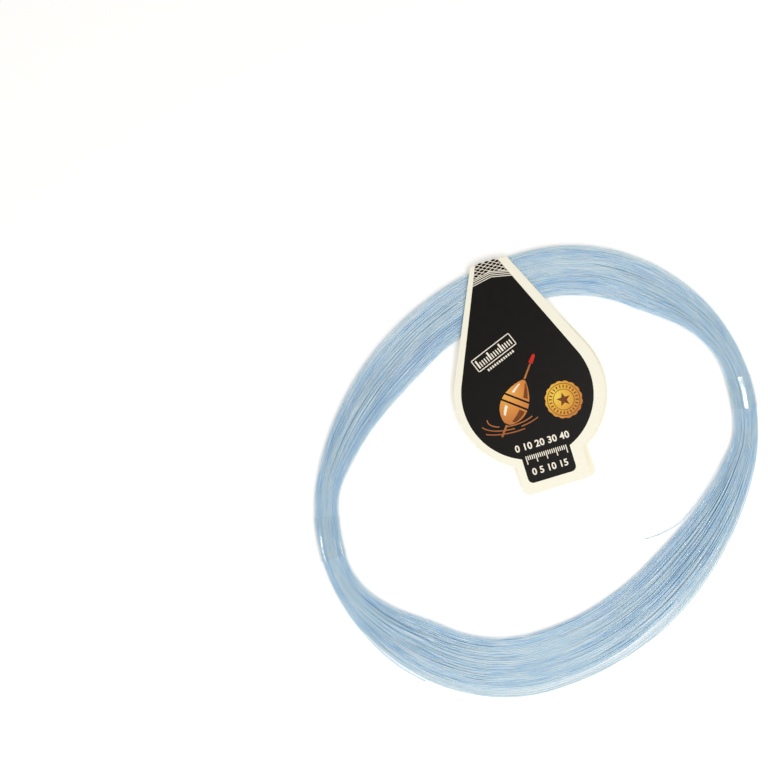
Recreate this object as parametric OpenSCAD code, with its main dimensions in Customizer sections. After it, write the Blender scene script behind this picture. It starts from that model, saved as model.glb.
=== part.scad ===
// Hank of fishing line: one long monofilament wound into a loose oval loop, nipped
// by two short clear sleeves and carried on a folded card label.
// The hank lies on z = 0 with its middle at the origin. +X points to the right
// sleeve. The label's fold is outside the loop on the +Y side and its leaves, one
// under the bundle and one over it, point towards -Y.

/* [Loop] */
// Outside length of the oval loop
loop_long = 196; // [172:1:230]
// Outside width of the oval loop
loop_short = 162; // [144:1:170]
// Angle from the long axis to the seam between a tight arc and a wide arc
arc_split = 60; // [54:1:66]
// Direction of the long axis, counted from +X
loop_turn = 29; // [20:1:45]

/* [Bundle] */
// Width of the bundle inside a sleeve
nip_w = 10; // [7:0.5:12]
// Width of the spread bundle on the label's side
label_side_w = 21; // [14:0.5:25]
// Width of the spread bundle on the open side
open_side_w = 22; // [14:0.5:26]
// Thickness of the bundle
bundle_t = 2.4; // [1.6:0.1:4]
// Angle over which the bundle spreads out past a sleeve
flare_turn = 44; // [25:1:50]
// Diameter of the line
line_d = 0.4; // [0.3:0.05:0.6]

/* [Sleeves] */
// Length of the left sleeve
left_sleeve_len = 17; // [10:0.5:20]
// Length of the right sleeve
right_sleeve_len = 13; // [10:0.5:20]
// Wall of a sleeve
sleeve_wall = 0.25; // [0.15:0.05:0.4]
// Clearance between a sleeve and the bundle
sleeve_gap = 0.25; // [0.2:0.05:0.4]
// How far a sleeve slides along the bundle each way
sleeve_travel = 4; // [1:0.5:5]
// How far past a sleeve's travel the bundle keeps its nipped width
nip_margin = 0.6; // [0.4:0.1:2]
// Angle from the long axis back to the right sleeve
sleeve_turn = 35; // [31:1:41]

/* [Label] */
// Length of a leaf from the fold to the end of its tab
label_len = 97.5; // [90:0.5:104]
// Width of the fold
neck_w = 15.4; // [10:0.2:20]
// Radius of the round lower part
label_r = 31; // [26:0.5:34]
// Distance from the fold to the centre of the round part
label_drop = 57.5; // [50:0.5:61]
// Width of the tab
tab_w = 28.5; // [18:0.5:34]
// Corner radius of the tab
tab_corner = 2.5; // [1:0.5:5]
// Thickness of the card
card_t = 0.3; // [0.2:0.05:0.5]
// Clearance between a leaf and the bundle
card_gap = 0.2; // [0.15:0.05:0.5]
// Clearance between the fold and the loop's outer edge
fold_gap = 1; // [0.8:0.1:3]
// Score left free at the crease, so that the front leaf opens
crease_gap = 0.1; // [0.05:0.05:0.3]
// How far the back leaf was folded askew
leaf_skew = 1.6; // [0:0.1:3]
// Angle from the long axis round to the label
label_turn = 67.5; // [62:0.5:73]

/* [Hidden] */

// The loop's outer edge: two tight arcs at the ends of the long axis, two wide arcs
// between them, all tangent where they meet.
tight_x = (loop_long - loop_short) / 2 / (1 - (1 - sin(arc_split)) / cos(arc_split));
wide_y = tight_x * tan(arc_split);
tight_r = loop_long / 2 - tight_x;
wide_r = tight_r + tight_x / cos(arc_split);

// Heights, from the floor up
lift = max(card_t + card_gap, sleeve_wall + sleeve_gap);
leaf_z = lift + bundle_t + card_gap;

// Where the bundle keeps its nipped width, so that the sleeves can slide
nip_r = tight_r - nip_w / 2;
nip_hold = (max(left_sleeve_len, right_sleeve_len) / 2 + sleeve_travel + nip_margin) / nip_r * 180 / PI;

// Stations round the loop, points round a section and sides of a tail
stations = 144;
section_points = 16;
tail_sides = 8;
// Exponent that squares up the rounded section
section_power = 0.8;

// Centre lines of the line's two free ends
start_tail_route = [
    [51.3, -38, 1.2], [48.7, -39.1, 1.1], [46.1, -40, 0.9], [43.5, -40.6, 0.7],
    [41, -41.1, 0.5], [38.5, -41.4, 0.4], [36, -41.5, 0.3], [33.4, -41.4, 0.3]];
end_tail_route = [
    [-82.7, -53.3, 1.2], [-81.2, -55.7, 1.1], [-79.4, -58.2, 0.9], [-77.6, -60.7, 0.7],
    [-75.6, -63.1, 0.5], [-73.4, -65.5, 0.4], [-71.1, -67.8, 0.3], [-68.8, -69.9, 0.3]];

function wrap(a) = a - 360 * floor((a + 180) / 360);
function ease(u) = u <= 0 ? 0 : u >= 1 ? 1 : u * u * (3 - 2 * u);
function signed_power(v, k) = sign(v) * pow(abs(v), k);
function turned(p, a) = [p.x * cos(a) - p.y * sin(a), p.x * sin(a) + p.y * cos(a)];

// Arc of the loop's outer edge at normal direction s, counted from the long axis
function on_tight(s) = abs(wrap(s)) <= arc_split || abs(wrap(s)) >= 180 - arc_split;
function arc_r(s) = on_tight(s) ? tight_r : wide_r;
function arc_centre(s) =
    on_tight(s) ? [tight_x * (abs(wrap(s)) < 90 ? 1 : -1), 0]
                : [0, wide_y * (wrap(s) > 0 ? -1 : 1)];
function loop_point(s, inset) =
    turned(arc_centre(s) + (arc_r(s) - inset) * [cos(s), sin(s)], loop_turn);

// Angle round from the right sleeve, and from the nearer sleeve
function from_right(s) = wrap(s + sleeve_turn);
function from_sleeve(s) = min(abs(from_right(s)), 180 - abs(from_right(s)));
function spread(s) = ease((from_sleeve(s) - nip_hold) / flare_turn);
function bundle_w(s) =
    nip_w + ((from_right(s) > 0 ? label_side_w : open_side_w) - nip_w) * spread(s);
// The open side rests on the floor, the rest on the sleeves and the back leaf
function bundle_z(s) = (from_right(s) > 0 ? lift : lift * (1 - spread(s))) + bundle_t / 2;

function section_at(s) = [
    for (i = [0 : section_points - 1])
        let (a = 360 * i / section_points,
             w = bundle_w(s),
             across = w / 2 * signed_power(cos(a), section_power),
             up = bundle_t / 2 * signed_power(sin(a), section_power),
             p = loop_point(s, w / 2 - across))
        [p.x, p.y, bundle_z(s) + up]];

// Side faces between rings of n points each, closed into a loop or left open
function side_faces(rings, n, closed) = [
    for (j = [0 : rings - (closed ? 1 : 2)], i = [0 : n - 1])
        let (a = j * n + i, b = j * n + (i + 1) % n,
             c = (j + 1) % rings * n + (i + 1) % n, d = (j + 1) % rings * n + i)
        each [[a, b, c], [a, c, d]]];

module line_coil() {
    color("#86B4DC")
        polyhedron([for (j = [0 : stations - 1]) each section_at(360 * j / stations)],
                   side_faces(stations, section_points, true), convexity = 6);
}

// One ring of a tail: a regular polygon across its route
function ring_at(route, j) =
    let (last = len(route) - 1,
         along = route[min(j + 1, last)] - route[max(j - 1, 0)],
         side = cross(along, [0, 0, 1]) / norm(cross(along, [0, 0, 1])),
         up = cross(side, along) / norm(along))
    [for (i = [0 : tail_sides - 1])
        route[j] + line_d / 2 * (side * cos(360 * i / tail_sides) + up * sin(360 * i / tail_sides))];

module tail(route) {
    rings = len(route);
    polyhedron([for (j = [0 : rings - 1]) each ring_at(route, j)],
               concat(side_faces(rings, tail_sides, false),
                      [[for (i = [tail_sides - 1 : -1 : 0]) i]],
                      [[for (i = [0 : tail_sides - 1]) (rings - 1) * tail_sides + i]]));
}

module line_start_tail() {
    color("#86B4DC") tail(start_tail_route);
}

module line_end_tail() {
    color("#86B4DC") tail(end_tail_route);
}

// Section of a flattened tube, its middle at the origin
module flat_round(w, t) {
    square([w - t, t], center = true);
    for (side = [-1, 1])
        translate([side * (w - t) / 2, 0]) circle(d = t, $fn = 32);
}

// A short flattened tube, curved with the tight arc that it sits on
module sleeve(s, length) {
    turn = length / nip_r * 180 / PI;
    middle = turned(arc_centre(s), loop_turn);
    inner_w = nip_w + 2 * sleeve_gap;
    inner_t = bundle_t + 2 * sleeve_gap;
    translate([middle.x, middle.y, lift + bundle_t / 2])
        rotate([0, 0, loop_turn + s - turn / 2])
            rotate_extrude(angle = turn, $fn = 180)
                translate([nip_r, 0])
                    difference() {
                        flat_round(inner_w + 2 * sleeve_wall, inner_t + 2 * sleeve_wall);
                        flat_round(inner_w, inner_t);
                    }
}

module left_sleeve() {
    color("#DCEFF8", 0.6) sleeve(180 - sleeve_turn, left_sleeve_len);
}

module right_sleeve() {
    color("#DCEFF8", 0.6) sleeve(-sleeve_turn, right_sleeve_len);
}

// Outline of a leaf: straight sides run from the fold into a round lower part with a
// tab below it. The fold's middle is at the origin and the leaf points towards -Y.
module leaf_outline() {
    reach = norm([neck_w / 2, label_drop]);
    side_turn = asin(label_r / reach) - atan(neck_w / 2 / label_drop);
    touch = [label_r * cos(side_turn), label_r * sin(side_turn) - label_drop];
    circle_at = [0, -label_drop];
    polygon([[-neck_w / 2, 0], [-touch.x, touch.y], circle_at, touch, [neck_w / 2, 0]]);
    translate(circle_at) circle(r = label_r, $fn = 120);
    translate([-tab_w / 2, tab_corner - label_len])
        square([tab_w, label_len - label_drop - tab_corner]);
    translate([tab_corner - tab_w / 2, -label_len])
        square([tab_w - 2 * tab_corner, 2 * tab_corner]);
    for (side = [-1, 1])
        translate([side * (tab_w / 2 - tab_corner), tab_corner - label_len])
            circle(r = tab_corner, $fn = 32);
}

// Puts its children at the outer face of the fold
module at_fold(z) {
    inner_face = loop_point(label_turn, -fold_gap);
    translate([inner_face.x, inner_face.y + card_t, z]) children();
}

module label_back_leaf() {
    color("#2A2622")
        at_fold(lift - card_gap - card_t)
            rotate([0, 0, leaf_skew]) linear_extrude(card_t) leaf_outline();
}

module label_spine() {
    foot = lift - card_gap;
    color("#FBEFD8")
        at_fold(foot)
            translate([-neck_w / 2, -card_t, 0])
                cube([neck_w, card_t, leaf_z - crease_gap - foot]);
}

module label_front_leaf() {
    color("#1E1C18") at_fold(leaf_z) linear_extrude(card_t) leaf_outline();
}

line_coil();
line_start_tail();
line_end_tail();
left_sleeve();
right_sleeve();
label_back_leaf();
label_spine();
label_front_leaf();
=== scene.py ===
import math
import random
import bmesh
import bpy
from mathutils import Matrix, Vector


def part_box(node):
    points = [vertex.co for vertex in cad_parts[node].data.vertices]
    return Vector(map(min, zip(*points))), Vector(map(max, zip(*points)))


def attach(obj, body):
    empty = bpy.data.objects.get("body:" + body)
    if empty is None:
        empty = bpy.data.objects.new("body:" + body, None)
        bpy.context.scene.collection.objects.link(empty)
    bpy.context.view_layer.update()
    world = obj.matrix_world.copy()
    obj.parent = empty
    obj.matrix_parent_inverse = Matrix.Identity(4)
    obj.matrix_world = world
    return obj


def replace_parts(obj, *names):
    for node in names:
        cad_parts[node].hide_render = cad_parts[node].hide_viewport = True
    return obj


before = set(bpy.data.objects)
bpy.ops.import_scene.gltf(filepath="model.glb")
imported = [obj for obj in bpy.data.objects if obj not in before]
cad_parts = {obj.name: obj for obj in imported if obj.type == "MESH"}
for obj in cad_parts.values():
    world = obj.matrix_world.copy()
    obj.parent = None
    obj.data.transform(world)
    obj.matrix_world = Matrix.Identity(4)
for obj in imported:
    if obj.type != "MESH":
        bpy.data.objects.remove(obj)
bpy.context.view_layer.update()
mm = 0.001  # sizes are in millimetres and angles in degrees, unless a note says otherwise
fullWave = 6.283  # one wave, in radians
print("stage: frame loaded,", len(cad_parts), "nodes")


# small helpers

def linearColour(hexValue):
    channels = [int(hexValue[i:i + 2], 16) / 255 for i in (1, 3, 5)]
    return tuple(c / 12.92 if c <= 0.04045 else ((c + 0.055) / 1.055) ** 2.4 for c in channels) + (1.0,)


def addNode(material, kind, settings=None, inputs=None):
    node = material.node_tree.nodes.new("ShaderNode" + kind)
    for name, value in (settings or {}).items():
        setattr(node, name, value)
    for key, value in (inputs or {}).items():
        if isinstance(value, bpy.types.NodeSocket):
            material.node_tree.links.new(value, node.inputs[key])
        else:
            node.inputs[key].default_value = value
    return node


def newMaterial(name):
    material = bpy.data.materials.new(name)
    material.use_nodes = True
    material.node_tree.nodes.clear()
    return material


def finishMaterial(material, surface):
    addNode(material, "OutputMaterial", inputs={"Surface": surface.outputs[0]})
    return material


def colourRamp(material, factor, stops):
    ramp = addNode(material, "ValToRGB", inputs={"Fac": factor})
    elements = ramp.color_ramp.elements
    while len(elements) < len(stops):
        elements.new(1.0)
    for element, (position, hexValue) in zip(elements, stops):
        element.position = position
        element.color = linearColour(hexValue)
    return ramp.outputs["Color"]


def placeObject(name, data):
    obj = bpy.data.objects.new(name, data)
    bpy.context.collection.objects.link(obj)
    return obj


def objectFrom(sheet, name, material, smooth=False):
    mesh = bpy.data.meshes.new(name)
    sheet.to_mesh(mesh)
    sheet.free()
    if smooth:
        mesh.polygons.foreach_set("use_smooth", [True] * len(mesh.polygons))
        mesh.set_sharp_from_angle(angle=math.radians(50))
    mesh.materials.append(material)
    return placeObject(name, mesh)


def sine(angle):
    return math.sin(math.radians(angle))


def cosine(angle):
    return math.cos(math.radians(angle))


def ease(u):
    u = min(max(u, 0.0), 1.0)
    return u * u * (3 - 2 * u)


def wrapDegrees(angle):
    return angle - 360 * math.floor((angle + 180) / 360)


# materials

nylon = {
    "driftsPerMetre": 110,  # slow changes of colour along a strand
    "kinksPerMetre": 300, "kinkHeight": 0.4,  # slight kinks that break up its shine
    "strandShare": 0.36,  # how far one strand's colour lies from the next one's
    "paintedSideShade": 0.4,  # painted shade: how much deeper blue the colour is drawn towards a strand's sides
    "passing": 0.26,  # share of the light that passes through
    "blues": [(0.04, "#8ED2FF"), (0.28, "#AEDFFC"), (0.48, "#CEEEFF"), (0.7, "#DFF6FF"),
              (0.86, "#EDFBFF")],
}


def nylonMonofilament():
    # nylon, melt drawn and dyed in the mass: pale blue and softly shining, each strand a little
    # paler or deeper than the next, with light passing on from strand to strand
    material = newMaterial("nylon_monofilament_drawn")
    tone = addNode(material, "Attribute", {"attribute_name": "tone"}).outputs["Fac"]
    along = addNode(material, "Attribute", {"attribute_name": "along"}).outputs["Fac"]
    drift = addNode(material, "TexNoise", {"noise_dimensions": "1D"},
                    {"W": along, "Scale": nylon["driftsPerMetre"] * mm, "Detail": 2.0})
    mixed = addNode(material, "Math", {"operation": "MULTIPLY_ADD"},
                    {0: tone, 1: nylon["strandShare"], 2: drift.outputs[0]})
    # painted shade: the colour is drawn a deeper blue towards a strand's sides as seen from the camera,
    # standing in for the longer sight line through the clear strand there
    slant = addNode(material, "LayerWeight", inputs={"Blend": 0.5}).outputs["Facing"]
    depth = addNode(material, "Math", {"operation": "MULTIPLY_ADD"},
                    {0: slant, 1: -nylon["paintedSideShade"], 2: mixed.outputs[0]})
    colour = colourRamp(material, depth.outputs[0], nylon["blues"])
    kinks = addNode(material, "TexNoise", {"noise_dimensions": "1D"},
                    {"W": along, "Scale": nylon["kinksPerMetre"] * mm, "Detail": 1.0})
    bump = addNode(material, "Bump", inputs={
        "Height": kinks.outputs[0], "Strength": 1.0, "Distance": nylon["kinkHeight"] * mm})
    outside = addNode(material, "BsdfPrincipled", inputs={
        "Base Color": colour, "Roughness": 0.3, "IOR": 1.53,
        "Coat Weight": 1.0, "Coat IOR": 1.9, "Coat Roughness": 0.1, "Coat Normal": bump.outputs[0]})
    inside = addNode(material, "BsdfTranslucent", inputs={"Color": colour})
    surface = addNode(material, "MixShader",
                      inputs={0: nylon["passing"], 1: outside.outputs[0], 2: inside.outputs[0]})
    return finishMaterial(material, surface)


vinyl = {
    "clear": "#FEFFFF",
    "mirror": 0.02, "slantMirror": 0.3,  # mirroring straight on, and how much more at a slant
    "haze": 0.025,  # milkiness of the wall
    "frost": 0.7,  # whiteness of a cut end
}


def clearVinyl():
    # plasticised vinyl tube, extruded: clear, with sharp white glints along its length
    material = newMaterial("clear_vinyl_extruded")
    clear = addNode(material, "BsdfTransparent", inputs={"Color": linearColour(vinyl["clear"])})
    gloss = addNode(material, "BsdfGlossy", inputs={"Roughness": 0.08})
    slant = addNode(material, "LayerWeight", inputs={"Blend": 0.2}).outputs["Facing"]
    mirror = addNode(material, "Math", {"operation": "MULTIPLY_ADD"},
                     {0: slant, 1: vinyl["slantMirror"], 2: vinyl["mirror"]})
    haze = addNode(material, "BsdfDiffuse", inputs={"Color": linearColour("#F2F6F6")})
    body = addNode(material, "MixShader",
                   inputs={0: vinyl["haze"], 1: clear.outputs[0], 2: haze.outputs[0]})
    surface = addNode(material, "MixShader",
                      inputs={0: mirror.outputs[0], 1: body.outputs[0], 2: gloss.outputs[0]})
    return finishMaterial(material, surface)


def cutVinyl():
    # the knife-cut end of the tube: whiter than its wall and matt
    material = newMaterial("clear_vinyl_knife_cut")
    clear = addNode(material, "BsdfTransparent", inputs={"Color": linearColour(vinyl["clear"])})
    frost = addNode(material, "BsdfDiffuse", inputs={"Color": linearColour("#FBFEFF")})
    surface = addNode(material, "MixShader",
                      inputs={0: vinyl["frost"], 1: clear.outputs[0], 2: frost.outputs[0]})
    return finishMaterial(material, surface)


cardSurface = {
    "fibresPerMetre": 900,  # drawn coarser than real fibre, so that it shows
    "fibreHeight": 0.1,
    "mottlesPerMetre": 260,  # cloudiness of the ink
}


def coatedCard():
    # coated board, die cut: warm white, faintly uneven where the fibre shows through
    material = newMaterial("coated_board_die_cut")
    place = addNode(material, "TexCoord").outputs["Object"]
    fibre = addNode(material, "TexNoise", inputs={
        "Vector": place, "Scale": cardSurface["fibresPerMetre"], "Detail": 3.0})
    colour = colourRamp(material, fibre.outputs[0], [(0.3, "#FFF8E1"), (0.7, "#FFFCE9")])
    bump = addNode(material, "Bump", inputs={
        "Height": fibre.outputs[0], "Strength": 0.08, "Distance": cardSurface["fibreHeight"] * mm})
    surface = addNode(material, "BsdfPrincipled", inputs={
        "Base Color": colour, "Roughness": 0.42, "IOR": 1.5, "Normal": bump.outputs[0]})
    return finishMaterial(material, surface)


def printedInk(name, low, high):
    # offset ink on coated board: even, a little glossier than the bare card
    material = newMaterial(name)
    place = addNode(material, "TexCoord").outputs["Object"]
    mottle = addNode(material, "TexNoise", inputs={
        "Vector": place, "Scale": cardSurface["mottlesPerMetre"], "Detail": 4.0})
    colour = colourRamp(material, mottle.outputs[0], [(0.35, low), (0.65, high)])
    surface = addNode(material, "BsdfPrincipled", inputs={
        "Base Color": colour, "Roughness": 0.3, "IOR": 1.5, "Specular IOR Level": 0.2})
    return finishMaterial(material, surface)


def shadedInk(name, centre, reach, stops):
    # offset ink on coated board, printed as a round gradient, lightest at its centre
    material = newMaterial(name)
    place = addNode(material, "TexCoord").outputs["Object"]
    away = addNode(material, "VectorMath", {"operation": "DISTANCE"}, {0: place, 1: centre})
    share = addNode(material, "Math", {"operation": "MULTIPLY"}, {0: away.outputs["Value"], 1: 1 / reach})
    colour = colourRamp(material, share.outputs[0], stops)
    surface = addNode(material, "BsdfPrincipled", inputs={
        "Base Color": colour, "Roughness": 0.34, "IOR": 1.5})
    return finishMaterial(material, surface)


# the loop and its bundle, in the same millimetres and degrees as the solids

loop = {
    "long": 196, "short": 162,  # outside of the oval
    "arcSplit": 60, "turn": 29,  # seam between the arcs, direction of the long axis
    "nipWidth": 10, "labelSideWidth": 21, "openSideWidth": 22,
    "thick": 2.4, "lift": 0.5,
    "squareness": 0.8,  # of the bundle's section: 1 is an ellipse, less is squarer
    "flareTurn": 44, "sleeveTurn": 35,
    "nipReach": 13.1,  # how far the nipped width lasts each way from a sleeve's middle
}
tightX = (loop["long"] - loop["short"]) / 2 / (1 - (1 - sine(loop["arcSplit"])) / cosine(loop["arcSplit"]))
wideY = tightX * sine(loop["arcSplit"]) / cosine(loop["arcSplit"])
tightRadius = loop["long"] / 2 - tightX
wideRadius = tightRadius + tightX / cosine(loop["arcSplit"])
nipRadius = tightRadius - loop["nipWidth"] / 2
nipHold = math.degrees(loop["nipReach"] / nipRadius)


def turned(x, y):
    c, s = cosine(loop["turn"]), sine(loop["turn"])
    return x * c - y * s, x * s + y * c


def arcAt(s):
    # middle and radius of the arc of the outer edge that faces direction s
    away = abs(wrapDegrees(s))
    if away <= loop["arcSplit"] or away >= 180 - loop["arcSplit"]:
        return (tightX if away < 90 else -tightX), 0.0, tightRadius
    return 0.0, (-wideY if wrapDegrees(s) > 0 else wideY), wideRadius


def loopPoint(s, inset):
    cx, cy, radius = arcAt(s)
    return turned(cx + (radius - inset) * cosine(s), cy + (radius - inset) * sine(s))


def fromRight(s):
    # degrees on from the right sleeve, more than 0 on the label's side
    return wrapDegrees(s + loop["sleeveTurn"])


def spreadAt(s):
    away = min(abs(fromRight(s)), 180 - abs(fromRight(s)))
    return ease((away - nipHold) / loop["flareTurn"])


def bundleWidth(s):
    full = loop["labelSideWidth"] if fromRight(s) > 0 else loop["openSideWidth"]
    return loop["nipWidth"] + (full - loop["nipWidth"]) * spreadAt(s)


def bundleMiddle(s):
    lift = loop["lift"] if fromRight(s) > 0 else loop["lift"] * (1 - spreadAt(s))
    return lift + loop["thick"] / 2


def roundedSection(angle, width, thick):
    c, s = math.cos(angle), math.sin(angle)
    power = loop["squareness"]
    return (width / 2 * math.copysign(abs(c) ** power, c), thick / 2 * math.copysign(abs(s) ** power, s))


def crownAt(share):
    # what is left of the section's half height, this share of its half width away from the middle
    power = 2 / loop["squareness"]
    return max(1 - min(abs(share), 1) ** power, 0.0) ** (1 / power)


# the line: one strand from its start tail, round and round, to its end tail. Places across the
# bundle run from -1 at its inner edge to 1 at its outer edge, and heights in it from -1 to 1

line = {
    "diameter": 0.4, "sides": 6, "ringsPerTurn": 150,
    "startTurn": -76, "endTurn": 185, "fullTurns": 97,
    "seed": 11,
    "tailTurn": 28,  # over which an end is drawn over to its tail
    "joinRings": 9, "joinPasses": 8,  # how widely and how often the strand is smoothed there
    "slotPitch": 0.43,  # between strands inside a sleeve
    "slotCloser": 0.985,  # by which they close up until each has a place
    "driftTurns": 13.7, "driftShare": 0.6,  # how the winding wanders from edge to edge
    "rippleRate": 0.83, "rippleLag": 1.1, "rippleShare": 0.3,
    "slotScatter": 0.05, "sideScatter": 0.03,
    "closedShare": 0.76,  # of the strands lie side by side, the rest over or under them
    "closedHeights": (0.42, 0.62), "closedFreedom": 0.1,
    "edgeThin": 0.36,  # how much thinner the strands lie towards the outer edge
    "locks": 7,  # locks that the loose strands of one side fall into
    "lockHeights": (-0.9, -0.6, -0.2, 0.97), "lockScatter": (0.9, 1.0),
    "looseReach": 0.82, "looseShift": -0.1,  # how far across the bundle the locks lie
    "strays": 8,  # strands a side that stand off the bundle's outer edge
    "strayReach": (0.9, 1.13), "strayHeights": (-0.6, 0.4), "strayFreedom": 0.6,
    "farthest": 1.15, "atFold": 1.0,  # how far out a strand may lie, and how far at the label's fold
    "meander": 0.14, "ownMeander": 0.045,  # how far a lock and a strand wander
    "slowBends": (0.5, 1.3), "quickBends": (1.6, 2.8), "quickShare": 0.4,  # waves in half a turn
    "wobble": ((11.3, 0.05), (19.7, 0.03)),  # waves in a turn and their size in mm
    "bobRate": 0.93, "bobLag": 2,  # how the wobble up and down differs from that across
    "leastWobble": 0.4,  # what is left of it inside a sleeve
    "lockTones": (0.0, 0.5, 0.7, 1.0),  # from deep to pale
    "lockToneShare": 0.6,  # of a strand's tone, the rest is its own
    "paintedEdgeLight": 0.6,  # painted light: how much paler the strands that lie apart at the outer edge are drawn, for the white floor seen through them
    "paleFrom": 0.55, "paleOver": 0.5,
}
startTail = [(51.3, -38, 1.2), (48.7, -39.1, 1.1), (46.1, -40, 0.9), (43.5, -40.6, 0.7),
             (41, -41.1, 0.5), (38.5, -41.4, 0.4), (36, -41.5, 0.3), (33.4, -41.4, 0.3)]
endTail = [(-82.7, -53.3, 1.2), (-81.2, -55.7, 1.1), (-79.4, -58.2, 0.9), (-77.6, -60.7, 0.7),
           (-75.6, -63.1, 0.5), (-73.4, -65.5, 0.4), (-71.1, -67.8, 0.3), (-68.8, -69.9, 0.3)]


def drawPhase(draw):
    return draw.uniform(0, 6.28)


def nipSlots(count):
    # places for the strands side by side in the rounded section inside a sleeve
    halfWidth = loop["nipWidth"] / 2 - line["diameter"] / 2
    halfThick = loop["thick"] / 2 - line["diameter"] / 2
    rowShare = 0.866  # height of a row of round strands that lie in each other's gaps
    pitch = line["slotPitch"]
    while True:
        slots = []
        rows = int(2 * halfThick / (pitch * rowShare)) + 1
        for row in range(rows):
            v = (row - (rows - 1) / 2) * pitch * rowShare / halfThick
            reach = halfWidth * crownAt(v)
            shift = pitch / 2 * (row % 2)
            first = math.ceil((-reach - shift) / pitch)
            last = math.floor((reach - shift) / pitch)
            slots += [((k * pitch + shift) / halfWidth, v) for k in range(first, last + 1)]
        if len(slots) >= count:
            return slots
        pitch *= line["slotCloser"]


def matchByRank(wishes, places):
    # gives each wish the place of the same rank, so that none is used twice
    order = sorted(range(len(wishes)), key=lambda i: wishes[i])
    result = [None] * len(wishes)
    for rank, i in enumerate(order):
        result[i] = places[rank]
    return result


def sidePlaces(count, draw):
    # places across the middle of one side, each with its height and its freedom to wander: a
    # closed layer of strands near the top, locks of loose ones over and under it, and a few strays
    strays, locks, thin = line["strays"], line["locks"], line["edgeThin"]
    closed = int((count - strays) * line["closedShare"])
    loose = count - strays - closed
    places = []
    for k in range(closed):
        q = 2 * (k + 0.5) / closed - 1
        spread = 1 - thin + thin * q ** 3 if q > 0 else 1
        places.append((q * spread, line["closedHeights"][k % 2], line["closedFreedom"]))
    heights = [draw.choice(line["lockHeights"]) for _ in range(locks)]
    for k in range(loose):
        q = line["looseReach"] * (2 * (k + 0.5) / loose - 1) + line["looseShift"]
        places.append((q, heights[k * locks // loose] * draw.uniform(*line["lockScatter"]), 1.0))
    for k in range(strays):
        places.append((draw.uniform(*line["strayReach"]), draw.uniform(*line["strayHeights"]),
                       line["strayFreedom"]))
    return sorted(places)


def drawBend(draw):
    # two waves: how many in half a turn, and where they start
    return (draw.uniform(*line["slowBends"]), drawPhase(draw),
            draw.uniform(*line["quickBends"]), drawPhase(draw))


def bendAt(bend, part):
    slow, slowStart, quick, quickStart = bend
    return (math.sin(fullWave * slow * part + slowStart)
            + line["quickShare"] * math.sin(fullWave * quick * part + quickStart))


def driftAt(crossing):
    turns = crossing / 2
    return (math.sin(turns * 2 * math.pi / line["driftTurns"]) * line["driftShare"]
            + line["rippleShare"] * math.sin(turns * line["rippleRate"] + line["rippleLag"]))


def drawSlots(draw, crossings):
    # the strand's place each time that it goes through a sleeve
    slots = [None] * crossings
    for side in (0, 1):
        mine = list(range(side, crossings, 2))
        places = nipSlots(len(mine))
        draw.shuffle(places)
        places = sorted(places[:len(mine)])
        wishes = [driftAt(n) + draw.gauss(0, line["slotScatter"]) for n in mine]
        if side == 0:
            wishes[0] = -math.inf  # the start tail comes in at the inner edge
        else:
            wishes[-1] = math.inf  # the end tail leaves at the outer edge
        for n, place in zip(mine, matchByRank(wishes, places)):
            slots[n] = place
    return slots


def drawMiddles(draw, slots):
    # the strand's place each time that it is midway between the sleeves
    passes = len(slots) + 1
    middles = [None] * passes
    for side in (0, 1):
        mine = list(range(side, passes, 2))
        wishes = []
        for j in mine:
            near = [slots[n][0] for n in (j - 1, j) if 0 <= n < len(slots)]
            wishes.append(sum(near) / len(near) + draw.gauss(0, line["sideScatter"]))
        for j, place in zip(mine, matchByRank(wishes, sidePlaces(len(mine), draw))):
            middles[j] = place
    return middles


def drawWinding(sweep):
    # all that is left to chance: places, bends and tones
    draw = random.Random(line["seed"])
    slots = drawSlots(draw, sweep // 180 + 1)
    middles = drawMiddles(draw, slots)
    passes = len(middles)
    # strands that lie close together bend together and have much the same tone
    groups = line["locks"] + 2
    lockBends = [[drawBend(draw) for _ in range(groups)] for _ in (0, 1)]
    ownBends = [drawBend(draw) for _ in range(passes)]
    edge = 1.2  # past the farthest stray
    lockOf = [int((middle[0] + edge) / (2 * edge) * (line["locks"] + 1)) for middle in middles]
    lockTones = [[draw.choice(line["lockTones"]) for _ in range(groups)] for _ in (0, 1)]
    shared = line["lockToneShare"]
    tones = [shared * lockTones[j % 2][lockOf[j]] + (1 - shared) * draw.random() for j in range(passes)]
    bends = [(lockBends[j % 2][lockOf[j]], ownBends[j]) for j in range(passes)]
    return {"slots": slots, "middles": middles, "bends": bends, "tones": tones}


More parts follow.
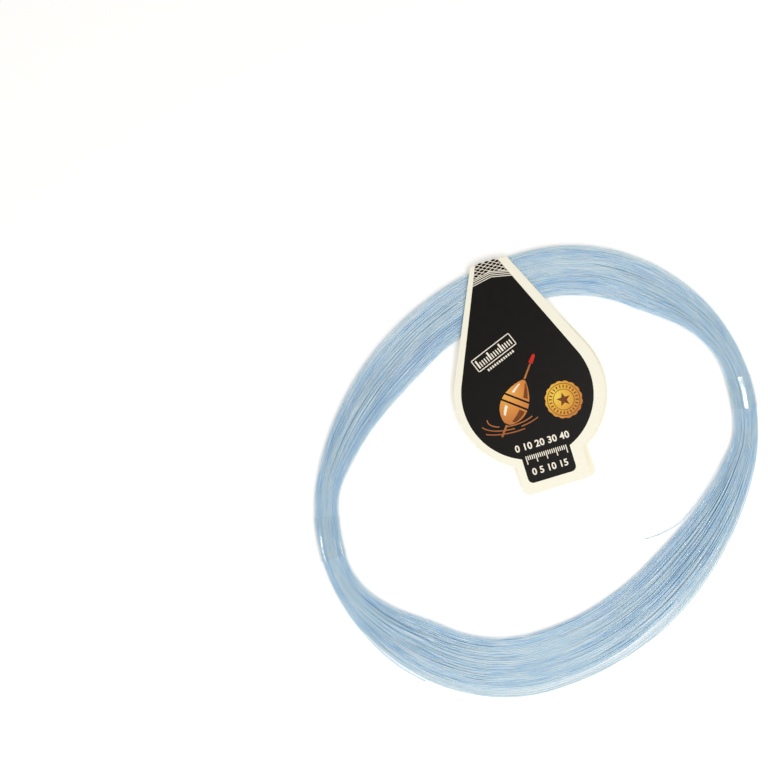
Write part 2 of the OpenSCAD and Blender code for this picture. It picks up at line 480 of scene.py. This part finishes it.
def strandAt(winding, total):
    # point and tone of the strand after it has gone round by this many degrees
    slots, middles, tones = winding["slots"], winding["middles"], winding["tones"]
    # j is the pass that it is on, and nearest the sleeve at the closer end of that pass
    since = (total + loop["sleeveTurn"]) / 180
    before = math.floor(since)
    part = since - before
    j = min(max(before + 1, 0), len(middles) - 1)
    nearest = min(max(before if part < 0.5 else before + 1, 0), len(slots) - 1)
    # from its place in the sleeve over to its place in the middle of the pass
    away = abs(since - nearest) * 180
    blend = ease((away - nipHold) / (90 - nipHold))
    u = slots[nearest][0] * (1 - blend) + middles[j][0] * blend
    v = slots[nearest][1] * (1 - blend) + middles[j][1] * blend
    lockBend, ownBend = winding["bends"][j]
    wander = line["meander"] * bendAt(lockBend, part)
    wander += line["ownMeander"] * bendAt(ownBend, part)
    s = wrapDegrees(total)
    # the label's fold keeps the strands on its side in
    outermost = line["atFold"] if fromRight(s) > 0 else line["farthest"]
    u = min(max(u + wander * middles[j][2] * blend, -line["farthest"]), outermost)
    # a slight wobble, which is freer where the strand is loose
    turns, wobble = total / 360, line["wobble"]
    sway = sum(size * math.sin(fullWave * waves * turns) for waves, size in wobble)
    bob = sum(size * math.sin(fullWave * waves * turns * line["bobRate"] + line["bobLag"])
              for waves, size in wobble)
    loosen = spreadAt(s)
    freedom = line["leastWobble"] + middles[j][2] * loosen
    # across the bundle, and up inside its rounded section
    width = bundleWidth(s)
    across = (width / 2 - line["diameter"] / 2) * u + sway * freedom
    x, y = loopPoint(s, width / 2 - across)
    room = (loop["thick"] - line["diameter"]) / 2
    rise = v * crownAt(u) * room + bob * freedom
    z = bundleMiddle(s) + min(max(rise, -room), room)
    tone = tones[j] * blend + (1 - blend) * tones[nearest]
    # painted light: strands lying apart at the outer edge are drawn paler, for the white floor seen
    # through them
    tone += line["paintedEdgeLight"] * ease((u - line["paleFrom"]) / line["paleOver"]) * loosen
    return Vector((x, y, z)), tone


def smoothRoute(points, steps=3):
    # a smooth curve through listed points
    pts = [Vector(p) for p in points]
    out = []
    for i in range(len(pts) - 1):
        a, b = pts[max(i - 1, 0)], pts[i]
        c, d = pts[i + 1], pts[min(i + 2, len(pts) - 1)]
        for k in range(steps):
            t = k / steps
            out.append(0.5 * (2 * b + (c - a) * t + (2 * a - 5 * b + 4 * c - d) * t * t
                              + (3 * b - a - 3 * c + d) * t ** 3))
    return out + [pts[-1]]


def linePath():
    sweep = 360 * line["fullTurns"] + line["endTurn"] - line["startTurn"]
    winding = drawWinding(sweep)
    rings = int(sweep / 360 * line["ringsPerTurn"])
    strand = [strandAt(winding, line["startTurn"] + sweep * i / rings) for i in range(rings + 1)]
    path = [point for point, _ in strand]
    tones = [tone for _, tone in strand]
    # draws the two ends over to their tails
    reach = int(line["tailTurn"] / 360 * line["ringsPerTurn"])
    for anchor, order in ((startTail[0], range(reach)), (endTail[0], range(rings, rings - reach, -1))):
        offset = Vector(anchor) - path[order[0]]
        for k, i in enumerate(order):
            path[i] = path[i] + offset * (1 - ease(k / reach))
    head = smoothRoute(startTail[::-1])[:-1]
    tail = smoothRoute(endTail)[1:]
    path = head + path + tail
    tones = [tones[0]] * len(head) + tones + [tones[-1]] * len(tail)
    # smooths both joins
    around = line["joinRings"]
    for centre in (len(head), len(path) - len(tail) - 1):
        for _ in range(line["joinPasses"]):
            kept = [p.copy() for p in path[centre - around:centre + around + 1]]
            for k in range(1, 2 * around):
                path[centre - around + k] = (kept[k - 1] + kept[k] * 2 + kept[k + 1]) / 4
    return path, tones


def strandMap(length):
    # the strand's map: one row for each turn, with a gap between the rows
    sides, perRow = line["sides"], line["ringsPerTurn"]
    rows = length // perRow + 1
    rowFill = 0.92
    uvs = []
    for i in range(length):
        row, column = divmod(i, perRow)
        for k in range(sides):
            for du, dv in ((0, 0), (0, 1), (1, 1), (1, 0)):
                uvs += [(column + du) / perRow, (row + rowFill * (k + dv) / sides) / rows]
    return uvs + [0.5, 0.5] * (2 * sides)


def buildLine(material):
    path, tones = linePath()
    radius, sides = line["diameter"] / 2, line["sides"]
    verts, ringTone, ringAlong = [], [], []
    distance = 0.0
    last = len(path) - 1
    for i, p in enumerate(path):
        if i:
            distance += (p - path[i - 1]).length
        ahead = (path[min(i + 1, last)] - path[max(i - 1, 0)]).normalized()
        side = ahead.cross(Vector((0, 0, 1))).normalized()
        up = side.cross(ahead)
        for k in range(sides):
            a = 2 * math.pi * k / sides
            verts.append((p + radius * (math.cos(a) * side + math.sin(a) * up)) * mm)
            ringTone.append(tones[i])
            ringAlong.append(distance)
    faces = []
    for i in range(last):
        for k in range(sides):
            a, b = i * sides + k, i * sides + (k + 1) % sides
            faces.append((a, b, b + sides, a + sides))
    faces.append(tuple(range(sides - 1, -1, -1)))
    faces.append(tuple(last * sides + k for k in range(sides)))
    mesh = bpy.data.meshes.new("fishing_line")
    mesh.from_pydata(verts, [], faces)
    for name, values in (("tone", ringTone), ("along", ringAlong)):
        mesh.attributes.new(name, "FLOAT", "POINT").data.foreach_set("value", values)
    mesh.polygons.foreach_set("use_smooth", [True] * len(faces))
    mesh.uv_layers.new(name="OFBake").data.foreach_set("uv", strandMap(last))
    mesh.materials.append(material)
    obj = placeObject("fishing_line", mesh)
    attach(obj, "coil")
    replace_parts(obj, "line_coil", "line_start_tail", "line_end_tail")
    print("stage: line wound,", round(distance * mm, 2), "m,", len(faces), "faces")


# the sleeves: two short lengths of soft clear tube, pressed flat on the bundle

sleeve = {
    "wall": 0.25, "gap": 0.25,
    # place, length and depth of the creases
    "pair": (("left_sleeve", 180 - loop["sleeveTurn"], 17, 0.06),
             ("right_sleeve", -loop["sleeveTurn"], 13, 0.02)),
    "stations": 40, "sides": 120,
    "creases": 7,  # lengthwise creases pressed into the tube
    "creaseSway": 1.3, "creaseRate": 3.1,  # how they wander from one end to the other
    "fineShare": 0.5, "fineRate": 2.3, "fineTwist": 2,
    "fadePower": 0.3,  # how soon they fade out at the cut ends
}


def creaseAt(angle, along, lag):
    # from -1.5 on a ridge to 1.5 down in a crease
    fold = math.sin(sleeve["creases"] * angle + lag[0]
                    + sleeve["creaseSway"] * math.sin(sleeve["creaseRate"] * along + lag[1]))
    fine = math.sin(sleeve["fineRate"] * sleeve["creases"] * angle + lag[2] - sleeve["fineTwist"] * along)
    return fold + sleeve["fineShare"] * fine


def buildSleeve(name, middle, length, crease, material, cut):
    half = math.degrees(length / 2 / nipRadius)
    height = loop["lift"] + loop["thick"] / 2
    draw = random.Random(length)
    lag = [drawPhase(draw) for _ in range(3)]
    sides, count = sleeve["sides"], sleeve["stations"] + 1
    sheet = bmesh.new()
    rings = []
    for wall in (sleeve["wall"], 0):
        width = loop["nipWidth"] + 2 * sleeve["gap"] + 2 * wall
        thick = loop["thick"] + 2 * sleeve["gap"] + 2 * wall
        for j in range(count):
            along = j / (count - 1)
            s = middle - half + 2 * half * along
            fade = math.sin(math.pi * along) ** sleeve["fadePower"]
            ringVerts = []
            for k in range(sides):
                angle = 2 * math.pi * k / sides
                x, z = roundedSection(angle, width, thick)
                press = 1 - crease * fade * (0.5 + creaseAt(angle, along, lag) / 3) / (thick / 2)
                px, py = loopPoint(s, loop["nipWidth"] / 2 - x)
                ringVerts.append(sheet.verts.new(Vector((px, py, height + z * press)) * mm))
            rings.append(ringVerts)
    for k in range(sides):
        n = (k + 1) % sides
        for j in range(count - 1):
            sheet.faces.new((rings[j][k], rings[j][n], rings[j + 1][n], rings[j + 1][k]))
            inner, after = rings[count + j], rings[count + j + 1]
            sheet.faces.new((inner[n], inner[k], after[k], after[n]))
        for j in (0, count - 1):
            end = sheet.faces.new((rings[j][k], rings[j][n], rings[count + j][n], rings[count + j][k]))
            end.material_index = 1
    bmesh.ops.recalc_face_normals(sheet, faces=sheet.faces[:])
    obj = objectFrom(sheet, name + "_tube", material, smooth=True)
    obj.data.materials.append(cut)
    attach(obj, name)
    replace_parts(obj, name)


def buildSleeves(tube, cutEnd):
    for name, middle, length, crease in sleeve["pair"]:
        buildSleeve(name, middle, length, crease, tube, cutEnd)


# the label: one die-cut card folded over the bundle. It is drawn in millimetres with
# its fold at the origin, its leaf towards -Y and its printed face at z = 0, and then
# laid on the hank

label = {
    "length": 97.5, "neckWidth": 15.4, "radius": 31, "drop": 57.5,
    "tabWidth": 28.5, "tabCorner": 2.5, "thick": 0.3,
    "foldRound": 0.6, "foldDrop": 0.25,  # outside radius of the fold's corners, and the front one's dip
    "skew": 1.6,  # how far the back leaf was folded askew, in degrees
    "sag": 1.1, "sagFrom": 30, "sagPower": 1.6,  # how the front leaf's end hangs down, and from where
    "bendStep": 3, "bendSteps": 22,  # strips that let the flat work follow the bend
    "inkLayer": 0.012,  # height of one layer of print
}
panel = {
    "neckWidth": 9.4, "radius": 27.2, "tabWidth": 20.4, "tabCorner": 2.2, "end": 93.2,
    "offset": -0.9,  # printed a little off the card's middle
}
cornerTurn = 15  # degrees between the points of a rounded corner
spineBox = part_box("label_spine")
fold = Vector(((spineBox[0][0] + spineBox[1][0]) / 2, spineBox[1][1], 0)) / mm
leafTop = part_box("label_front_leaf")[1][2] / mm


def sideTurn(neckHalf, radius):
    # how far a straight side leans out on its way from the fold to the round part
    reach = math.hypot(neckHalf, label["drop"])
    return math.degrees(math.asin(radius / reach) - math.atan(neckHalf / label["drop"]))


def leafOutline(shape, end, start=0.0, offset=0.0, steps=48):
    # straight sides from the fold into a round lower part, and a tab below it
    neck, tabHalf = shape["neckWidth"] / 2, shape["tabWidth"] / 2
    radius, corner = shape["radius"], shape["tabCorner"]
    lean = sideTurn(neck, radius)
    lowest = -math.degrees(math.acos(tabHalf / radius))
    bow = (lean + (lowest - lean) * k / steps for k in range(steps + 1))
    right = [(neck + start * math.tan(math.radians(lean)), -start)]
    right += [(radius * cosine(a), radius * sine(a) - label["drop"]) for a in bow]
    right += [(tabHalf - corner + corner * cosine(a), corner - end + corner * sine(a))
              for a in range(0, -91, -cornerTurn)]
    return [(x + offset, y) for x, y in right] + [(offset - x, y) for x, y in reversed(right)]


def sagAt(y):
    beyond = max(-y - label["sagFrom"], 0) / (label["length"] - label["sagFrom"])
    rounding = max(y + label["foldRound"], 0) / label["foldRound"]
    return -label["sag"] * beyond ** label["sagPower"] - label["foldDrop"] * rounding ** 2


def extrudeFace(sheet, points, axis, end):
    # a prism: the points' face, and a copy of it moved along one axis
    face = sheet.faces.new([sheet.verts.new(point) for point in points])
    for part in bmesh.ops.extrude_face_region(sheet, geom=[face])["geom"]:
        if isinstance(part, bmesh.types.BMVert):
            part.co[axis] = end


def layOnLeaf(sheet, leaf):
    if leaf == "front":
        # cuts the flat work across, so that it can follow the leaf's bend
        cuts = [-label["foldRound"] * k / 3 for k in (1, 2, 3)]
        cuts += [-label["sagFrom"] - label["bendStep"] * k for k in range(label["bendSteps"])]
        for y in cuts:
            everything = sheet.verts[:] + sheet.edges[:] + sheet.faces[:]
            bmesh.ops.bisect_plane(sheet, geom=everything, plane_co=(0, y, 0), plane_no=(0, 1, 0))
        for v in sheet.verts:
            v.co = (fold + Vector((v.co.x, v.co.y, leafTop + v.co.z + sagAt(v.co.y)))) * mm
    else:
        # printed face down, on the floor
        turn = Matrix.Rotation(math.radians(label["skew"]), 4, "Z")
        for v in sheet.verts:
            v.co = (fold + turn @ Vector((v.co.x, v.co.y, 2 * label["inkLayer"] - v.co.z))) * mm
    bmesh.ops.recalc_face_normals(sheet, faces=sheet.faces[:])


def onLabel(sheet, leaf, name, material):
    layOnLeaf(sheet, leaf)
    obj = objectFrom(sheet, name, material)
    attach(obj, "label_flap" if leaf == "front" else "label")
    return obj


def printOn(leaf, name, outlines, layer, ink):
    sheet = bmesh.new()
    for outline in outlines:
        low = (layer - 1) * label["inkLayer"]
        extrudeFace(sheet, [(x, y, low) for x, y in outline], 2, layer * label["inkLayer"])
    onLabel(sheet, leaf, name, ink)


def buildLeaf(leaf, node, start, depth, card, ink):
    sheet = bmesh.new()
    outline = leafOutline(label, label["length"], start)
    extrudeFace(sheet, [(x, y, -depth) for x, y in outline], 2, 0)
    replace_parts(onLabel(sheet, leaf, node + "_card", card), node)
    printOn(leaf, leaf + "_panel_ink", [leafOutline(panel, panel["end"], start, panel["offset"])], 1, ink)


def foldCard(card, ink):
    # the strip between the leaves, with a rounded corner at the back leaf
    r, thick, high = label["foldRound"], label["thick"], spineBox[1][2] / mm
    outer = [(-r + r * cosine(a), r + r * sine(a)) for a in range(-90, 1, cornerTurn)] + [(0, high)]
    inner = [(-r + (r - thick) * cosine(a), r + (r - thick) * sine(a)) for a in range(-90, 1, cornerTurn)]
    inner.append((-thick, high))
    layer = label["inkLayer"]
    strips = (("label_fold", card, label["neckWidth"] / 2, outer + inner[::-1], "card_edge"),
              ("fold_panel_ink", ink, panel["neckWidth"] / 2,
               [(0, r), (layer, r), (layer, high), (0, high)], "card_print"))
    for name, material, reach, profile, slot in strips:
        sheet = bmesh.new()
        extrudeFace(sheet, [(-reach, y, z) for y, z in profile], 0, reach)
        for v in sheet.verts:
            v.co = (fold + v.co) * mm
        bmesh.ops.recalc_face_normals(sheet, faces=sheet.faces[:])
        obj = objectFrom(sheet, name, material, smooth=True)
        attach(obj, "label")
        if name == "label_fold":
            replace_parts(obj, "label_spine")


# shapes that the print is drawn with

def stroke(points, width):
    # outline of a line drawn along the points
    pts = [Vector(p) for p in points]
    left, rightSide = [], []
    for i, p in enumerate(pts):
        ahead = (pts[min(i + 1, len(pts) - 1)] - pts[max(i - 1, 0)]).normalized()
        across = Vector((-ahead.y, ahead.x)) * width / 2
        left.append(tuple(p + across))
        rightSide.append(tuple(p - across))
    return left + rightSide[::-1]


def arc(cx, cy, rx, ry, start, end, steps=24):
    return [(cx + rx * cosine(a), cy + ry * sine(a))
            for a in (start + (end - start) * k / steps for k in range(steps + 1))]


def ring(cx, cy, radius, width):
    # a closed line, drawn as two halves
    return [stroke(arc(cx, cy, radius, radius, a, a + 180), width) for a in (0, 180)]


def tilted(outlines, angle, cx, cy):
    c, s = cosine(angle), sine(angle)
    return [[(cx + x * c - y * s, cy + x * s + y * c) for x, y in outline] for outline in outlines]


def clipped(outline, a, b, limit):
    # the part of an outline where a*x + b*y is at most the limit
    kept = []
    for (x0, y0), (x1, y1) in zip(outline, outline[1:] + outline[:1]):
        d0, d1 = a * x0 + b * y0 - limit, a * x1 + b * y1 - limit
        if d0 <= 0:
            kept.append((x0, y0))
        if d0 * d1 < 0:
            share = d0 / (d0 - d1)
            kept.append((x0 + (x1 - x0) * share, y0 + (y1 - y0) * share))
    return kept


def clippedByAll(outline, limits):
    for limit in limits:
        outline = clipped(outline, *limit) if len(outline) > 2 else []
    return outline


# the net at the neck of the panel: black diamonds on a white band, with white lines under it

net = {
    "wide": 2.9, "high": 1.5, "line": 0.3,  # one diamond of the net, and its white line
    "sideLine": 0.9,  # of that line, left at a diamond's sharp corners
    "start": -0.5, "rows": 14, "reach": 4,  # reach in diamonds each way from the middle
    "apex": -4.9, "fall": 0.2,  # where the net ends, lowest at its sides
    "roofs": (-5.35, -6.15, -6.95), "roofLine": 0.34,
}


def netOutlines():
    half = panel["neckWidth"] / 2
    slope = math.tan(math.radians(sideTurn(half, panel["radius"])))
    sides = ((1, slope, half), (-1, slope, half))
    reach = half + 6  # wide enough to be cut off at the panel's sides
    low = net["apex"] - net["fall"] * reach
    band = clippedByAll([(-reach, 0), (reach, 0), (reach, low), (0, net["apex"]), (-reach, low)], sides)
    halfX = net["wide"] / 2 - net["line"] * net["sideLine"]
    halfY = net["high"] / 2 - net["line"] / 2
    diamonds = []
    for row in range(net["rows"]):
        y = net["start"] - row * net["high"] / 2
        for column in range(-net["reach"], net["reach"] + 1):
            x = (column + 0.5 * (row % 2)) * net["wide"]
            sign = 1 if x >= 0 else -1
            ends = ((0, 1, 0), (-sign * net["fall"], -1, -net["apex"] - net["line"]))
            corners = [(x + halfX, y), (x, y + halfY), (x - halfX, y), (x, y - halfY)]
            diamond = clippedByAll(corners, sides + ends)
            if len(diamond) > 2:
                diamonds.append(diamond)
    roofs = []
    for top in net["roofs"]:
        end = (half - top * slope) / (1 - net["fall"] * slope)
        low = top - net["fall"] * end
        roofs.append(stroke([(-end, low), (0, top), (end, low)], net["roofLine"]))
    return [[[(x + panel["offset"], y) for x, y in outline] for outline in part]
            for part in ([band], diamonds, roofs)]


def printNet(inks):
    band, diamonds, roofs = netOutlines()
    printOn("front", "net_band_ink", band + roofs, 2, inks["cream"])
    printOn("front", "net_diamond_ink", diamonds, 3, inks["black"])


# a fishing float: banded body, stem, antenna and red tip, and the rings that it sits in

bobber = {
    "x": -6.6, "y": -59.5, "tilt": -38,  # middle of the body, and how far it leans
    "long": 20, "wide": 11.5, "belly": 0.8, "fullness": 0.75,
    "lightAt": (-3, 4), "lightReach": 16,  # where its colour is lightest, and how far that reaches
    "bands": ((0.015, 0.42), (0.46, 0.56), (0.60, 0.985)),  # along the body, from its foot
    "shades": ((0.10, 0.38), (0.64, 0.93)), "shadeAcross": (0.45, 0.86),
    "shines": ((0.16, 0.36), (0.66, 0.88)), "shineAcross": (-0.62, -0.40),
    "gap": 0.2,  # between the body and its stem and antenna
    "stem": 5.5, "stemWidth": 0.8, "antenna": 7, "antennaWidth": 0.7,
    "tip": [(-0.9, 7.2), (0.9, 7.2), (0.7, 10.6), (0, 11.4), (-0.7, 10.6)],  # from the body's top
    "ripplesLeft": 3, "ripplesBelow": 4.5, "rippleFlat": 0.42, "rippleLine": 0.45,
    "ripples": ((10.5, 172, 232), (10.5, 250, 318), (13.8, 196, 268), (13.8, 280, 316), (17.0, 222, 282)),
}


def bodyHalfWidth(t):
    # t runs from 0 at the body's foot to 1 at its top
    return bobber["wide"] / 2 * max(math.sin(math.pi * t ** bobber["belly"]), 0) ** bobber["fullness"]


def bodyPart(along, across=(-1.0, 1.0), steps=10):
    # the part of the body between two shares of its length and two shares of its half width
    (start, end), (leftShare, rightShare) = along, across
    ts = [start + (end - start) * k / steps for k in range(steps + 1)]
    side = [(rightShare * bodyHalfWidth(t), bobber["long"] * (t - 0.5)) for t in ts]
    other = [(leftShare * bodyHalfWidth(t), bobber["long"] * (t - 0.5)) for t in ts]
    return side + other[::-1]


def printFloat(inks):
    end, gap = bobber["long"] / 2, bobber["gap"]
    body = [bodyPart(band) for band in bobber["bands"]]
    stems = [stroke([(0, -end - bobber["stem"]), (0, -end - gap)], bobber["stemWidth"]),
             stroke([(0, end + gap), (0, end + bobber["antenna"])], bobber["antennaWidth"])]
    tip = [[(x, end + y) for x, y in bobber["tip"]]]
    shade = [bodyPart(band, bobber["shadeAcross"]) for band in bobber["shades"]]
    shine = [bodyPart(band, bobber["shineAcross"]) for band in bobber["shines"]]
    cx, cy = bobber["x"] - bobber["ripplesLeft"], bobber["y"] - bobber["ripplesBelow"]
    ripples = [stroke(arc(cx, cy, rx, rx * bobber["rippleFlat"], a, b), bobber["rippleLine"])
               for rx, a, b in bobber["ripples"]]
    place = (bobber["tilt"], bobber["x"], bobber["y"])
    printOn("front", "float_body_ink", tilted(body + stems, *place), 2, inks["amber"])
    printOn("front", "float_shade_ink", tilted(shade, *place), 3, inks["rust"])
    printOn("front", "float_shine_ink", tilted(shine, *place), 3, inks["cream"])
    printOn("front", "float_tip_ink", tilted(tip, *place), 2, inks["red"])
    printOn("front", "ripple_ink", ripples, 2, inks["amber"])


# a scalloped rosette with two rings, a crown of rays and a star

seal = {
    "x": 12.6, "y": -64.2, "radius": 7.4,
    "lightAt": (-2.5, 2.5), "lightReach": 11,
    "scallops": 16, "scallopHigh": 0.42,
    "rings": (0.9, 0.58), "ringLine": 0.26,  # rings and rays as shares of the radius
    "rays": (0.66, 0.82), "rayTurn": 15, "rayLine": 0.5,
    "starOut": 3.0, "starIn": 1.3,
}


def printSeal(inks):
    x, y, r = seal["x"], seal["y"], seal["radius"]

    def around(radius, a):
        return x + radius * cosine(a), y + radius * sine(a)

    edge = [around(r + seal["scallopHigh"] * abs(cosine(seal["scallops"] * a / 2)), a)
            for a in range(0, 360, 3)]
    rings = [outline for share in seal["rings"] for outline in ring(x, y, r * share, seal["ringLine"])]
    rays = [stroke([around(r * share, a) for share in seal["rays"]], seal["rayLine"])
            for a in range(0, 360, seal["rayTurn"])]
    star = [around(seal["starIn"] if k % 2 else seal["starOut"], 90 + 36 * k) for k in range(10)]
    printOn("front", "seal_ink", [edge], 2, inks["gold"])
    printOn("front", "seal_line_ink", rings + rays + [star], 3, inks["rust"])


# a plain tick gauge in a frame, with a row of dashes below it

gauge = {
    "x": -9.2, "y": -37.5, "tilt": 21, "wide": 19.3, "high": 5.4,
    "frameLine": 0.4, "marginX": 1.4, "marginY": 0.9,
    "bars": 15, "longEvery": 5, "shortTop": 0.5,  # height at which a short bar ends
    "longLine": 0.75, "shortLine": 0.5,
    "dashes": 12, "dashStart": -6.4, "dashPitch": 1.15, "dashLong": 0.7,
    "dashBelow": 1.7, "dashLine": 1.0,
}


def printGauge(inks):
    w, h, lineWidth = gauge["wide"] / 2, gauge["high"] / 2, gauge["frameLine"]
    outlines = [stroke([(-w, y), (w, y)], lineWidth) for y in (-h, h)]
    outlines += [stroke([(x, -h + lineWidth / 2), (x, h - lineWidth / 2)], lineWidth) for x in (-w, w)]
    mx, my = gauge["marginX"], gauge["marginY"]
    for k in range(gauge["bars"]):
        isLong = k % gauge["longEvery"] == 0
        x = -w + mx + k * (2 * w - 2 * mx) / (gauge["bars"] - 1)
        top = h - my if isLong else gauge["shortTop"]
        outlines.append(stroke([(x, -h + my), (x, top)], gauge["longLine" if isLong else "shortLine"]))
    y = -h - gauge["dashBelow"]
    for k in range(gauge["dashes"]):
        x = gauge["dashStart"] + gauge["dashPitch"] * k
        outlines.append(stroke([(x, y), (x + gauge["dashLong"], y)], gauge["dashLine"]))
    outlines = tilted(outlines, gauge["tilt"], gauge["x"], gauge["y"])
    printOn("front", "gauge_ink", outlines, 2, inks["cream"])


# a scale with plain numbers, above and below a row of ticks

scale = {
    "upperText": "0 10 20 30 40", "upperSize": 3.9, "upperX": -1.1, "upperY": -78.3,
    "lowerText": "0 5 10 15", "lowerSize": 3.8, "lowerX": -0.9, "lowerY": -89.0,
    "ticks": 21, "tickX": -9.3, "tickPitch": 0.85, "tickTop": -82.0,
    "longEnd": -85.4, "shortEnd": -83.8, "longEvery": 5, "tickLine": 0.4,
    "weight": 0.10, "spacing": 1.05,  # how much heavier and wider than the typeface itself
}


def numeralsOn(leaf, name, text, size, cx, cy, ink):
    # plain figures, set in the built-in typeface and centred
    curve = bpy.data.curves.new(name, "FONT")
    curve.body = text
    curve.size = size
    curve.align_x = "CENTER"
    curve.align_y = "CENTER"
    curve.offset = scale["weight"]
    curve.extrude = label["inkLayer"] / 2
    curve.space_character = scale["spacing"]
    holder = bpy.data.objects.new(name + "_curve", curve)
    mesh = bpy.data.meshes.new_from_object(holder)
    sheet = bmesh.new()
    sheet.from_mesh(mesh)
    bpy.data.objects.remove(holder)
    bpy.data.curves.remove(curve)
    bpy.data.meshes.remove(mesh)
    for v in sheet.verts:
        v.co += Vector((cx, cy, label["inkLayer"] * 1.5))
    # joins the faces of each figure to its sides
    bmesh.ops.remove_doubles(sheet, verts=sheet.verts[:], dist=0.001)
    onLabel(sheet, leaf, name, ink)


def printScale(inks):
    numeralsOn("front", "scale_numerals_ink", scale["upperText"], scale["upperSize"],
               scale["upperX"], scale["upperY"], inks["cream"])
    ticks = []
    for k in range(scale["ticks"]):
        x = scale["tickX"] + scale["tickPitch"] * k
        end = scale["longEnd"] if k % scale["longEvery"] == 0 else scale["shortEnd"]
        ticks.append(stroke([(x, scale["tickTop"]), (x, end)], scale["tickLine"]))
    printOn("front", "scale_tick_ink", ticks, 2, inks["cream"])
    numeralsOn("front", "tab_numerals_ink", scale["lowerText"], scale["lowerSize"],
               scale["lowerX"], scale["lowerY"], inks["cream"])


def mixInks():
    def light(piece):
        x, y = piece["x"] + piece["lightAt"][0], piece["y"] + piece["lightAt"][1]
        return (fold + Vector((x, y, leafTop))) * mm, piece["lightReach"] * mm

    return {
        "black": printedInk("offset_ink_black", "#0C0904", "#110D07"),
        "cream": printedInk("offset_ink_reversed_white", "#F8EDD9", "#FFF6E4"),
        "red": printedInk("offset_ink_red", "#CF2319", "#E23A26"),
        "rust": printedInk("offset_ink_brown", "#6E3A18", "#8A4B1E"),
        "amber": shadedInk("offset_ink_amber", *light(bobber),
                           [(0.0, "#F0B04A"), (0.45, "#DE8A30"), (1.0, "#A85A20")]),
        "gold": shadedInk("offset_ink_gold", *light(seal),
                          [(0.0, "#F7D64A"), (0.4, "#EDB32E"), (1.0, "#C9761C")]),
    }


def buildLabel():
    card, inks = coatedCard(), mixInks()
    backDepth = label["thick"] - 2 * label["inkLayer"]
    buildLeaf("front", "label_front_leaf", 0.0, label["thick"], card, inks["black"])
    buildLeaf("back", "label_back_leaf", label["foldRound"], backDepth, card, inks["black"])
    foldCard(card, inks["black"])
    for printPart in (printNet, printFloat, printSeal, printGauge, printScale):
        printPart(inks)


# studio and camera. Lamps stand at metres to the right, up in the picture and above the floor

studio = {
    "target": (-50.4, 49.9), "distance": 441, "elevation": 84, "heading": 73.34,
    "lens": 50, "sensor": 36,
    "skyLevel": 0.5,
    "lamps": (("key", (0.2, -0.46, 0.7), 0.8, 0.41),  # place, width and level
              ("glint_right", (0.455, 0.1, 1.05), 0.09, 0.06),
              ("glint_left", (-0.58, -0.187, 1.05), 0.12, 0.05)),
    "floorHalf": 2.0, "floorDrop": 0.02,  # half its width in metres, and its depth below the hank in mm
    "whiteLift": 0.22,  # what the camera and shiny things see added to the sheet
}


def addCamera():
    up = Vector((cosine(studio["heading"]), sine(studio["heading"]), 0))
    aim = Vector((*studio["target"], 0)) * mm
    back = -up * cosine(studio["elevation"]) + Vector((0, 0, sine(studio["elevation"])))
    data = bpy.data.cameras.new("camera")
    data.lens = studio["lens"]
    data.sensor_width = studio["sensor"]
    data.clip_start = 0.01
    camera = placeObject("camera", data)
    camera.location = aim + back * studio["distance"] * mm
    right = up.cross(Vector((0, 0, 1))).normalized()
    axes = Matrix((right, back.cross(right), back)).transposed()
    camera.rotation_euler = axes.to_euler()
    bpy.context.scene.camera = camera
    return up, right


def addLamp(name, place, size, level):
    # level 1 alone would show a white sheet at its own colour
    data = bpy.data.lights.new(name, "AREA")
    data.shape = "DISK"
    data.size = size
    data.energy = level * math.pi ** 2 * place.length ** 2 / place.normalized().z
    lamp = placeObject(name, data)
    lamp.location = place
    lamp.rotation_euler = place.to_track_quat("Z", "Y").to_euler()


def mattPaper():
    # matt white paper: even and without a shine, lifted to plain white for the eye
    material = newMaterial("matt_white_paper_sweep")
    paper = addNode(material, "BsdfPrincipled", inputs={
        "Base Color": linearColour("#FCFAF7"), "Roughness": 0.9, "Specular IOR Level": 0.1})
    rays = addNode(material, "LightPath").outputs
    seen = addNode(material, "Math", {"operation": "MAXIMUM"},
                   {0: rays["Is Camera Ray"], 1: rays["Is Glossy Ray"]})
    seenToo = addNode(material, "Math", {"operation": "MAXIMUM"},
                      {0: seen.outputs[0], 1: rays["Is Transmission Ray"]})
    lift = addNode(material, "Math", {"operation": "MULTIPLY"},
                   {0: seenToo.outputs[0], 1: studio["whiteLift"]})
    glow = addNode(material, "Emission", inputs={"Strength": lift.outputs[0]})
    surface = addNode(material, "AddShader", inputs={0: paper.outputs[0], 1: glow.outputs[0]})
    return finishMaterial(material, surface)


def addFloor():
    half = studio["floorHalf"]
    mesh = bpy.data.meshes.new("floor")
    mesh.from_pydata([(-half, -half, 0), (half, -half, 0), (half, half, 0), (-half, half, 0)],
                     [], [(0, 1, 2, 3)])
    mesh.materials.append(mattPaper())
    floor = placeObject("floor", mesh)
    floor.location.z = -studio["floorDrop"] * mm


def addStudio(up, right):
    scene = bpy.context.scene
    scene.world = bpy.data.worlds.new("soft_sky")
    scene.world.use_nodes = True
    sky = scene.world.node_tree.nodes["Background"].inputs
    sky["Strength"].default_value = studio["skyLevel"]
    sky["Color"].default_value = (1, 1, 1, 1)
    for name, (across, along, high), size, level in studio["lamps"]:
        addLamp(name, right * across + up * along + Vector((0, 0, high)), size, level)
    addFloor()
    scene.view_settings.view_transform = "Standard"
    # light passes from strand to strand many times, which deepens their blue
    scene.cycles.max_bounces = 24
    scene.cycles.diffuse_bounces = 16
    scene.cycles.transparent_max_bounces = 32


addStudio(*addCamera())
buildLine(nylonMonofilament())
buildSleeves(clearVinyl(), cutVinyl())
print("stage: sleeves pressed on")
buildLabel()
print("stage: label folded and printed")

print("stage: done")
